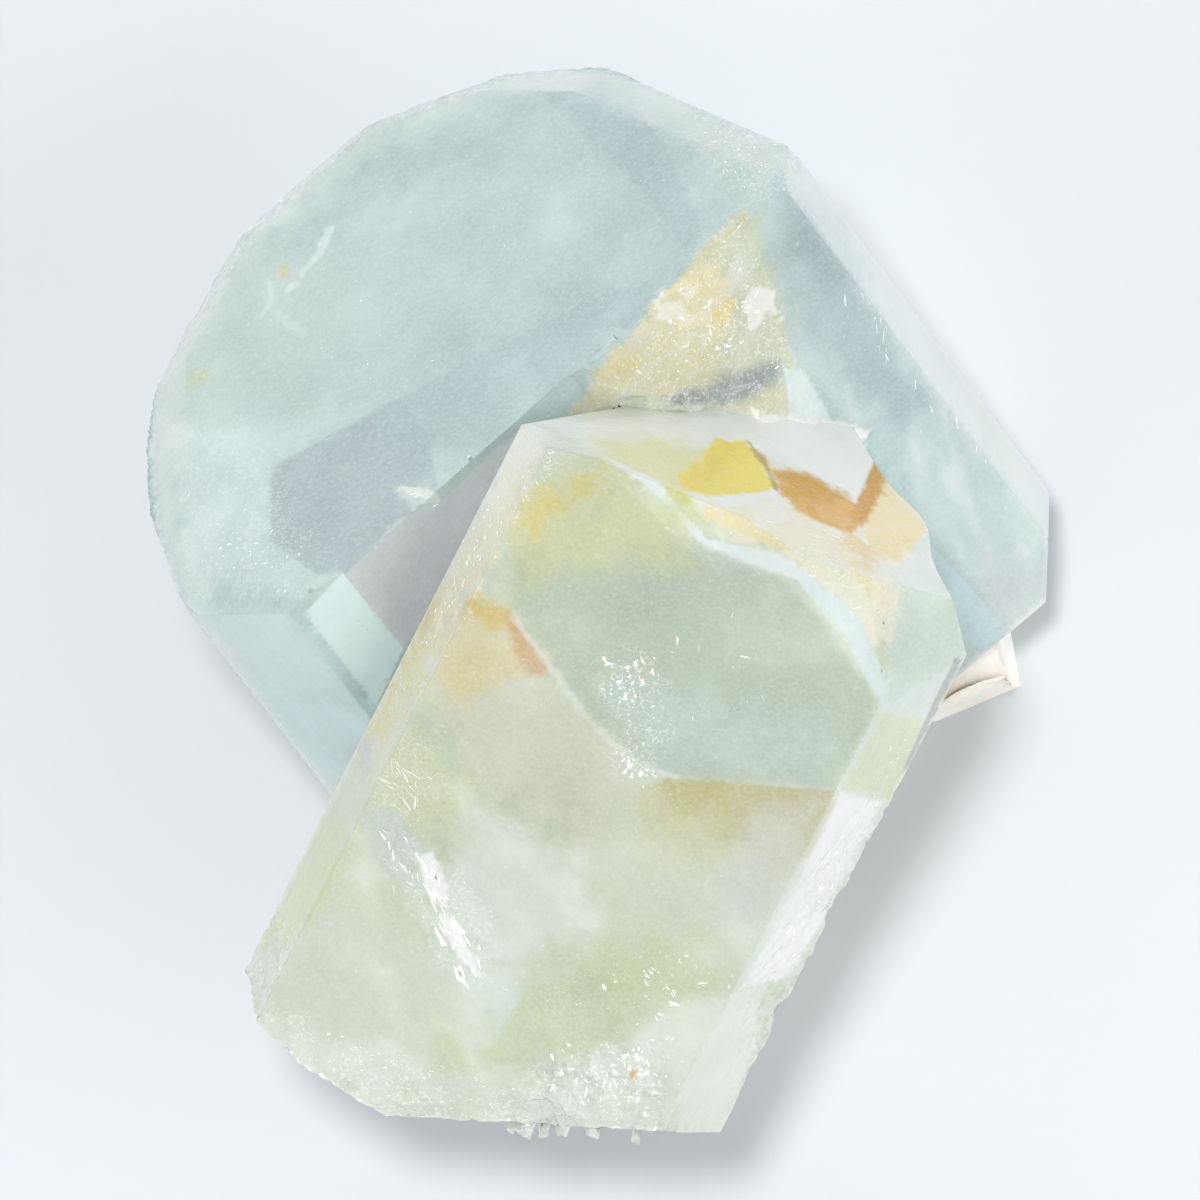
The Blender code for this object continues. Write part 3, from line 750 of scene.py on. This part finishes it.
for spot in MARKS:
    torn = RAGGED_REACH * spot["ragged"] * (wander + 0.5 * splinter)
    depth = depth_of(spot, points, upward, away) + torn
    share = smooth_step(depth, -spot["softness"], spot["softness"])
    colour = painted(colour, shown(spot["colour"]), strength_of(spot) * share)
# the stored colour holds the stains, the painted light on steep sides and on the right side, and the
# painted shade sliver
store_colour(twin.data, "stains", colour)
print("marks laid on:", len(MARKS))

# %% Values for the flecks and the growth lines
# growth lines lie a third of a millimetre apart, and each runs for some 7 mm along the prism
GROWTH_SPACING = np.array((0.35, 0.35, 7.0))
flecked = np.max([amount * smooth_step(depth_inside(outline, points) + 3 * wander, -0.8, 1.0)
                  for amount, outline in FLECKED], axis=0)
growth = np.where(is_green[:, None], in_frame(GREEN_FRAME, points), in_frame(BLUE_FRAME, points))
growth_lines = twin.data.attributes.new("growth", "FLOAT_VECTOR", "POINT")
growth_lines.data.foreach_set("vector", (growth / GROWTH_SPACING).astype(np.float32).ravel())
end_on = np.abs(normals(twin.data) @ np.array(GREEN_FRAME)[:3, 2])
on_prism = 1 - smooth_step(end_on, 0.3, 0.6)
store_mark(twin.data, "lined", (1 - 0.92 * upright) * np.where(is_green, 0.35 * on_prism, 0.30))
store_mark(twin.data, "flecked", np.maximum(flecked * (upward > 0), roughness_of(points, upward > 0)))
print("painted points:", len(points))

# %% [markdown]
# ## Beryl
#
# Aquamarine is beryl coloured by traces of iron: blue where the iron is reduced, yellow-green
# where it isn't.  It is a glassy mineral with an IOR of 1.577, so the shader transmits.  This
# specimen is milky with fine clouds, which scatter light before it gets through, so the larger
# part of the shader is diffuse.  Three small patterns go over the painted colour: white flecks a
# quarter of a millimetre wide, which are partly white chips and partly painted sparkle, hair-fine
# cracks, and faint growth lines along each prism.

# %% The beryl material
# the real flecks are too fine to show, so they are drawn as coarse as this
FLECK_WIDTH = 0.26
CRACK_SPACING = 1.1
BUMP_DEPTH = 0.08


def beryl():
    """The milky stone of both crystals."""
    # grown faces are glassy, and their uneven polish gives a shine that comes and goes
    material, tree, output = new_material("beryl_grown_faces")
    place = add_node(tree, "TexCoord").outputs["Object"]
    ragged = add_node(tree, "TexNoise", {"Vector": place, "Scale": 1 / (CRACK_SPACING * MM),
                                         "Detail": 3.0, "Roughness": 0.65}).outputs["Fac"]
    # white flecks over the painted colour, most of them where the stone is broken: partly white chips and
    # partly painted sparkle
    colour = add_node(tree, "Attribute", attribute_name="stains").outputs["Color"]
    fine = add_node(tree, "TexNoise", {"Vector": place, "Scale": 1 / (FLECK_WIDTH * MM), "Detail": 2.5,
                                       "Roughness": 0.75}).outputs["Fac"]
    flecked = add_node(tree, "Attribute", attribute_name="flecked").outputs["Fac"]
    beyond = add_node(tree, "Math", {0: flecked, 1: 0.155, 2: fine}, operation="MULTIPLY_ADD").outputs[0]
    flecks = add_node(tree, "ValToRGB", {"Fac": beyond})
    grain = flecks.color_ramp.elements
    grain[0].position, grain[0].color = 0.42, (0, 0, 0, 1)
    grain[1].position, grain[1].color = 0.72, (0.2, 0.2, 0.2, 1)
    grain.new(0.76).color = (0.9, 0.9, 0.9, 1)
    colour = add_node(tree, "Mix", {0: flecks.outputs[0], 6: colour, 7: linear("FFFFFE")},
                      data_type="RGBA").outputs[2]
    # a hair-fine crack lies wherever the noise is close to its middle value
    from_middle = add_node(tree, "Math", {0: ragged, 1: 0.5, 2: 0.011}, operation="COMPARE").outputs[0]
    hairs = add_node(tree, "Math", {0: from_middle, 1: flecked}, operation="MULTIPLY").outputs[0]
    colour = add_node(tree, "Mix", {0: hairs, 6: colour, 7: linear("FCFEFC")}, data_type="RGBA").outputs[2]
    # pale growth lines along the prism, which the bump follows too
    growth = add_node(tree, "Attribute", attribute_name="growth").outputs["Vector"]
    lined = add_node(tree, "Attribute", attribute_name="lined").outputs["Fac"]
    lines = add_node(tree, "TexNoise", {"Vector": growth, "Scale": 1.0, "Detail": 2.0}).outputs["Fac"]
    veils = add_node(tree, "MapRange", {0: lines, 1: 0.5, 2: 0.8, 4: lined}).outputs[0]
    colour = add_node(tree, "Mix", {0: veils, 6: colour, 7: linear("F3F8F6")}, data_type="RGBA").outputs[2]
    height = add_node(tree, "Math", {0: lines, 1: 1.5, 2: fine}, operation="MULTIPLY_ADD").outputs[0]
    bump = add_node(tree, "Bump", {"Strength": 0.18, "Distance": BUMP_DEPTH * MM, "Height": height})
    polish = add_node(tree, "MapRange", {0: ragged, 1: 0.3, 2: 0.7, 3: 0.1, 4: 0.24}).outputs[0]
    shader = add_node(tree, "BsdfPrincipled", {
        "Base Color": colour, "Roughness": polish, "IOR": 1.577, "Transmission Weight": 0.35,
        "Normal": bump.outputs[0]})
    tree.links.new(shader.outputs[0], output.inputs["Surface"])
    return material


twin.data.materials.append(beryl())
print("beryl nodes:", len(twin.data.materials[0].node_tree.nodes))

# %% Hand over the crystals
SHARPEST_SMOOTH = 28
twin.data.shade_smooth()
twin.data.set_sharp_from_angle(angle=math.radians(SHARPEST_SMOOTH))
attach(twin, "root")
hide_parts("aquamarine_twin")
print("points of the crystals:", len(twin.data.vertices))

# %% [markdown]
# ## Glints
#
# Small chips and healed cracks throw back light as white slivers, some as fine as a hair.  They
# are modelled as thin flat flakes that lie on the surface, because paint on the mesh can't be that
# sharp, and a noise pattern would spread them too evenly; the white flakes are painted glints as
# well as white cracks.  Each group is scattered inside its own outline, denser towards its middle,
# with one main direction.

# %% Where the flakes lie
GLINTS = (
    # count, least and greatest length in mm, width share, direction and spread in degrees, outline
    (60, 0.12, 0.7, 0.40, 60, 60, ((588, 650), (640, 640), (675, 680), (655, 720), (600, 712))),
    (34, 0.15, 0.8, 0.35, 30, 60, ((606, 748), (640, 742), (668, 765), (645, 795), (615, 780))),
    (60, 0.20, 2.2, 0.20, 115, 16, ((400, 845), (440, 850), (490, 960), (480, 1000), (440, 960))),
    (60, 0.3, 1.3, 0.05, 115, 40, ((365, 730), (425, 735), (445, 790), (420, 850), (372, 790))),
    (30, 0.3, 1.4, 0.10, 120, 30, ((345, 800), (400, 800), (450, 900), (440, 980), (380, 880))),
    (64, 0.12, 0.8, 0.25, 150, 50,
     ((525, 960), (600, 930), (760, 890), (770, 990), (690, 1040), (540, 1050))),
    (170, 0.12, 0.8, 0.30, 90, 70,
     ((535, 1050), (640, 1020), (700, 1020), (672, 1120), (600, 1130), (545, 1100))),
    (90, 0.10, 0.5, 0.30, 150, 60,
     ((248, 985), (330, 1030), (480, 1080), (560, 1090), (420, 1112), (320, 1062))),
    (150, 0.12, 0.6, 0.30, 120, 60,
     ((505, 430), (600, 430), (540, 470), (470, 590), (385, 725), (372, 722))),
    (150, 0.10, 0.6, 0.30, 140, 80,
     ((590, 400), (655, 305), (745, 210), (775, 300), (790, 370), (700, 400))),
    (24, 0.3, 0.9, 0.45, 140, 60,
     ((655, 300), (690, 292), (775, 290), (778, 325), (745, 325), (690, 320))),
    (60, 0.10, 0.4, 0.40, 130, 80, ((690, 95), (790, 140), (800, 200), (740, 205), (700, 150))),
    (80, 0.15, 0.9, 0.12, 10, 30,
     ((700, 505), (780, 498), (870, 545), (900, 600), (860, 630), (790, 570))),
    (70, 0.12, 0.7, 0.35, 60, 60,
     ((845, 790), (885, 795), (860, 860), (785, 975), (745, 985), (800, 890))),
    (26, 0.10, 0.5, 0.35, 60, 60, ((885, 720), (925, 720), (900, 790), (865, 790))),
    (60, 0.06, 0.2, 0.60, 0, 90,
     ((200, 300), (450, 110), (700, 130), (640, 320), (420, 470), (200, 480))),
    (40, 0.12, 0.5, 0.30, 45, 60, ((165, 500), (250, 480), (330, 560), (300, 600), (185, 600))),
    (40, 0.3, 1.5, 0.05, 110, 14,
     ((800, 190), (860, 270), (1000, 460), (1040, 520), (900, 420), (810, 300))),
    (14, 0.3, 1.2, 0.10, 165, 20, ((396, 486), (444, 500), (440, 510), (400, 495))),
    (24, 0.12, 0.9, 0.12, 120, 60, ((540, 600), (800, 600), (840, 700), (800, 760), (640, 740))),
)
YELLOW_GLINTS = (
    (60, 0.10, 0.5, 0.35, 140, 80,
     ((600, 390), (665, 305), (720, 262), (735, 330), (690, 350), (620, 380))),
    (40, 0.12, 0.6, 0.25, 120, 50, ((510, 470), (545, 470), (470, 600), (400, 700), (385, 700))),
    (24, 0.12, 0.5, 0.30, 45, 60, ((780, 505), (860, 525), (885, 580), (860, 590))),
)
DARK_GLINTS = (
    (16, 0.08, 0.3, 0.45, 90, 60, ((870, 580), (890, 580), (892, 690), (872, 690))),
    (14, 0.08, 0.3, 0.35, 20, 60, ((690, 680), (760, 680), (770, 745), (730, 740))),
    (12, 0.08, 0.3, 0.35, 90, 60, ((240, 200), (560, 230), (620, 330), (400, 520), (300, 420))),
    (8, 0.10, 0.3, 0.35, 60, 60, ((330, 595), (345, 590), (385, 640), (370, 650))),
)
GLINT_LIFT = 0.03
print("groups of flakes:", len(GLINTS + YELLOW_GLINTS + DARK_GLINTS))


# %% Places for the flakes
PULL_TO_MIDDLE = 0.75


def inside(outline, spot):
    """Whether a place on the view is inside an outline."""
    return depth_inside(outline, np.array([[*seen_at(*spot), 0.0]]))[0] > 0


def scattered(outline, count, random):
    """Places inside an outline, drawn towards its middle."""
    corners = np.array(outline, float)
    middle = corners.mean(axis=0)
    low, high = corners.min(axis=0), corners.max(axis=0)
    places = []
    while len(places) < count:
        place = low + (high - low) * random.random(2)
        if inside(outline, place):
            places.append(place + (middle - place) * PULL_TO_MIDDLE * random.random())
    return places


print("a place in the square:", scattered(SQUARE, 1, np.random.RandomState(1))[0].round())

# %% Shape the flakes
# a ray comes down from this height, and a flake lies only where the surface isn't too steep
ABOVE_ALL = 90
STEEPEST = 0.15
FEW_ARE_LONG = 2.5
FLAKE_CORNERS = 5


def flakes(name, groups, body, seed):
    """One mesh of thin flakes that lie on a body's upper surface."""
    random = np.random.RandomState(seed)
    mesh_edit = bmesh.new()
    for count, least, greatest, width, direction, spread, outline in groups:
        for place in scattered(outline, count, random):
            x, y = seen_at(*place)
            hit, where, normal, _ = body.ray_cast(Vector((x, y, ABOVE_ALL)) * MM, Vector((0, 0, -1)))
            length = (least + (greatest - least) * random.random() ** FEW_ARE_LONG) * MM
            angle = math.radians(direction + spread * random.uniform(-1, 1))
            shape = width * random.uniform(0.4, 1.8)
            if not hit or normal.z < STEEPEST:
                continue
            long_way = Vector((math.cos(angle), math.sin(angle), 0))
            long_way = (long_way - normal * long_way.dot(normal)).normalized()
            wide_way = normal.cross(long_way)
            corners = []
            for turn in np.sort(random.uniform(0, 2 * math.pi, FLAKE_CORNERS)):
                reach = length / 2 * random.uniform(0.5, 1.1)
                at = long_way * math.cos(turn) + wide_way * shape * math.sin(turn)
                corners.append(mesh_edit.verts.new(where + at * reach + normal * GLINT_LIFT * MM))
            mesh_edit.faces.new(corners)
    mesh = bpy.data.meshes.new(name)
    mesh_edit.to_mesh(mesh)
    mesh_edit.free()
    obj = bpy.data.objects.new(name, mesh)
    bpy.context.scene.collection.objects.link(obj)
    return obj


print("each flake has", FLAKE_CORNERS, "corners")


# %% Lay the flakes
def flake_material(name, hex_colour, roughness):
    """The finish of one group of flakes."""
    # a cracked face of beryl is smooth but small, so it gives the eye a point of light
    material, tree, output = new_material(name)
    shader = add_node(tree, "BsdfPrincipled", {"Base Color": linear(hex_colour), "Roughness": roughness,
                                               "IOR": 1.577})
    tree.links.new(shader.outputs[0], output.inputs["Surface"])
    return material


# the white flakes are partly healed cracks and partly painted glints: their white colour stands in for
# sparkle
for name, groups, seed, finish in (
        ("white_glints", GLINTS, 4, flake_material("healed_crack_and_painted_glint", "FDFEFD", 0.25)),
        ("yellow_glints", YELLOW_GLINTS, 5, flake_material("iron_stained_crack", "F3E2A6", 0.35)),
        ("dark_glints", DARK_GLINTS, 6, flake_material("dark_speck", "8A8F86", 0.5))):
    glints = flakes(name, groups, twin, seed)
    glints.data.materials.append(finish)
    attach(glints, "root")
    print(name, len(glints.data.polygons))

# %% [markdown]
# ## Feldspar
#
# Feldspar is a white to cream mineral that splits along two flats nearly at right angles, with a
# pearly lustre on them.  The lump has walls thinner than a millimetre beside the crystals, which
# remeshing would tear, so its long edges are cut in two instead until all are short.  A stepped
# noise then cuts fine cleavage terraces into it, less deep where the wall is thin.  The finish is
# opaque with a soft wide shine, and its cream stains and its grain are two sizes of noise.

# %% Cut the long edges of the lump
LONGEST_EDGE = 0.75
CUTTING_ROUNDS = 7


def refined(node, name):
    """A copy of a node's mesh with its long edges cut, and a search tree of the uncut mesh."""
    mesh_edit = bmesh.new()
    mesh_edit.from_mesh(node.data)
    bmesh.ops.remove_doubles(mesh_edit, verts=mesh_edit.verts, dist=0.001 * MM)
    bmesh.ops.triangulate(mesh_edit, faces=mesh_edit.faces[:])
    uncut = BVHTree.FromBMesh(mesh_edit)
    for _ in range(CUTTING_ROUNDS):
        long_edges = [e for e in mesh_edit.edges if e.calc_length() > LONGEST_EDGE * MM]
        bmesh.ops.subdivide_edges(mesh_edit, edges=long_edges, cuts=1)
        bmesh.ops.triangulate(mesh_edit, faces=mesh_edit.faces[:])
    mesh = bpy.data.meshes.new(name)
    mesh_edit.to_mesh(mesh)
    mesh_edit.free()
    obj = bpy.data.objects.new(name, mesh)
    bpy.context.scene.collection.objects.link(obj)
    return obj, uncut


rock, uncut_rock = refined(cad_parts["feldspar_matrix"], "feldspar_rock")
print("cells on the feldspar:", len(rock.data.polygons))

# %% Cleavage terraces
TERRACES = 9
TERRACE_SIZE = 2.6
DEEPEST_TERRACE = 0.42
GRAIN_SIZE = 0.8
GRAIN_DEPTH = 0.07
SHARE_OF_WALL = 0.25
CLEAVAGE_STRETCH = ((0.9, 0.1, 0.2), (-0.2, 0.5, 0.3), (0.1, -0.3, 0.9))


def wall_behind(solid, points, inward):
    """Millimetres of stone behind each point of a solid's surface."""
    walls = [solid.ray_cast(Vector(point + 0.01 * way) * MM, Vector(way))[3]
             for point, way in zip(points, inward)]
    return np.array([(wall or 0) / MM for wall in walls])


points = positions(rock.data)
facing_out = normals(rock.data)
cleavage = lumps(points @ np.array(CLEAVAGE_STRETCH), TERRACE_SIZE, 21.0)
steps = np.floor(cleavage * TERRACES) / TERRACES
grain = lumps(points, GRAIN_SIZE, 33.0, ridged=True)
free = smooth_step(points[:, 2], 0.05, 1.2)
push = free * ((0.9 * (1 - steps) - 0.25).clip(0, DEEPEST_TERRACE) + GRAIN_DEPTH * grain)
push = np.minimum(push, SHARE_OF_WALL * wall_behind(uncut_rock, points, -facing_out))
points -= facing_out * push[:, None]
points[:, 2] = np.maximum(points[:, 2], 0)
set_positions(rock.data, points)
print("deepest cut in the feldspar:", round(float(push.max()), 2), "mm")

# %% The feldspar material
STAIN_WIDTH = 7
GRAIN_WIDTH = 0.5
GRAIN_BUMP = 0.15


def feldspar():
    """White feldspar with faint cream stains."""
    # split faces are pearly: a soft wide shine, broken up by a half-millimetre grain
    material, tree, output = new_material("feldspar_split_faces")
    place = add_node(tree, "TexCoord").outputs["Object"]
    stains = add_node(tree, "TexNoise", {"Vector": place, "Scale": 1 / (STAIN_WIDTH * MM),
                                         "Detail": 6.0}).outputs["Fac"]
    grains = add_node(tree, "TexNoise", {"Vector": place, "Scale": 1 / (GRAIN_WIDTH * MM),
                                         "Detail": 4.0}).outputs["Fac"]
    ramp = add_node(tree, "ValToRGB", {"Fac": stains})
    stops = ramp.color_ramp.elements
    stops[0].position, stops[0].color = 0.32, linear("DCC9AE")
    stops[1].position, stops[1].color = 0.66, linear("F8F7F2")
    stops.new(0.44).color = linear("EFE8DA")
    bump = add_node(tree, "Bump", {"Strength": 0.4, "Distance": GRAIN_BUMP * MM, "Height": grains})
    shader = add_node(tree, "BsdfPrincipled", {
        "Base Color": ramp.outputs["Color"], "Roughness": 0.42, "IOR": 1.525, "Normal": bump.outputs[0]})
    tree.links.new(shader.outputs[0], output.inputs["Surface"])
    return material


SHARPEST_PEARLY = 24
rock.data.materials.append(feldspar())
rock.data.shade_smooth()
rock.data.set_sharp_from_angle(angle=math.radians(SHARPEST_PEARLY))
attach(rock, "root")
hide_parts("feldspar_matrix")
print("feldspar nodes:", len(rock.data.materials[0].node_tree.nodes))

# %% [markdown]
# ## Table, light and camera
#
# The specimen lies on a plain pale sheet.  One key light from the upper left puts its shadow to
# the lower right, and three wide low lights, like the walls of a light tent, brighten its steep
# sides.  The tent's walls leave no mirror image on the glassy faces.  The camera looks straight
# down from far off with a long lens, so that parallel edges stay parallel.

# %% Table
HALF_SHEET = 1.5
sheet_mesh = bpy.data.meshes.new("paper_sheet")
sheet_edit = bmesh.new()
bmesh.ops.create_grid(sheet_edit, x_segments=1, y_segments=1, size=HALF_SHEET)
sheet_edit.to_mesh(sheet_mesh)
sheet_edit.free()
sheet = bpy.data.objects.new("paper_sheet", sheet_mesh)
bpy.context.scene.collection.objects.link(sheet)
# uncoated paper is matt, so it shows the shadow and no shine
paper, paper_tree, paper_output = new_material("uncoated_paper")
paper_shader = add_node(paper_tree, "BsdfPrincipled", {"Base Color": linear("CBD0D3"), "Roughness": 0.9})
paper_tree.links.new(paper_shader.outputs[0], paper_output.inputs["Surface"])
sheet_mesh.materials.append(paper)
print("sheet:", round(sheet.dimensions.x, 1), "m wide")

# %% Light
KEY_FROM = (-0.08, 0.11, 1.0)
KEY_STRENGTH = 1.88
KEY_WIDTH = 7
ROOM_STRENGTH = 0.3
TENT_WALLS = (("tent_back", (0.0, 1.0, 0.28), 1.8), ("tent_left", (-0.8, -0.5, 0.28), 1.4),
              ("tent_right", (0.8, -0.4, 0.28), 2.35))
TENT_WIDTH = 80
world = bpy.data.worlds.new("studio")
bpy.context.scene.world = world
world.use_nodes = True
world.node_tree.nodes["Background"].inputs["Color"].default_value = linear("FCFDFF")
world.node_tree.nodes["Background"].inputs["Strength"].default_value = ROOM_STRENGTH


def sun(name, aim_from, strength, width):
    """A distant lamp that shines from one side, and its width in the sky in degrees."""
    lamp = bpy.data.lights.new(name, "SUN")
    lamp.energy = strength
    lamp.angle = math.radians(width)
    obj = bpy.data.objects.new(name, lamp)
    obj.rotation_euler = (-Vector(aim_from)).to_track_quat("-Z", "Y").to_euler()
    bpy.context.scene.collection.objects.link(obj)
    return obj


key = sun("key", KEY_FROM, KEY_STRENGTH, KEY_WIDTH)
for name, side, strength in TENT_WALLS:
    sun(name, side, strength, TENT_WIDTH).visible_glossy = False
bpy.context.scene.view_settings.view_transform = "Standard"
cycles = bpy.context.scene.cycles
cycles.max_bounces = 8
cycles.diffuse_bounces = 2
cycles.glossy_bounces = 2
cycles.transmission_bounces = 8
cycles.caustics_reflective = False
print("key light:", key.data.energy)

# %% Camera
CAMERA_HEIGHT = 2.5
FARTHEST = 20
FRAME_WIDTH = FRAME_UNITS * VIEW_SCALE * MM
MIDDLE_HEIGHT = 24 * MM
camera_data = bpy.data.cameras.new("camera")
camera = bpy.data.objects.new("camera", camera_data)
bpy.context.scene.collection.objects.link(camera)
middle_x, middle_y = seen_at(FRAME_UNITS / 2, FRAME_UNITS / 2)
camera.location = (middle_x * MM, middle_y * MM, CAMERA_HEIGHT)
camera_data.lens = camera_data.sensor_width * (CAMERA_HEIGHT - MIDDLE_HEIGHT) / FRAME_WIDTH
camera_data.clip_end = FARTHEST
bpy.context.scene.camera = camera
print("lens:", round(camera_data.lens), "mm")
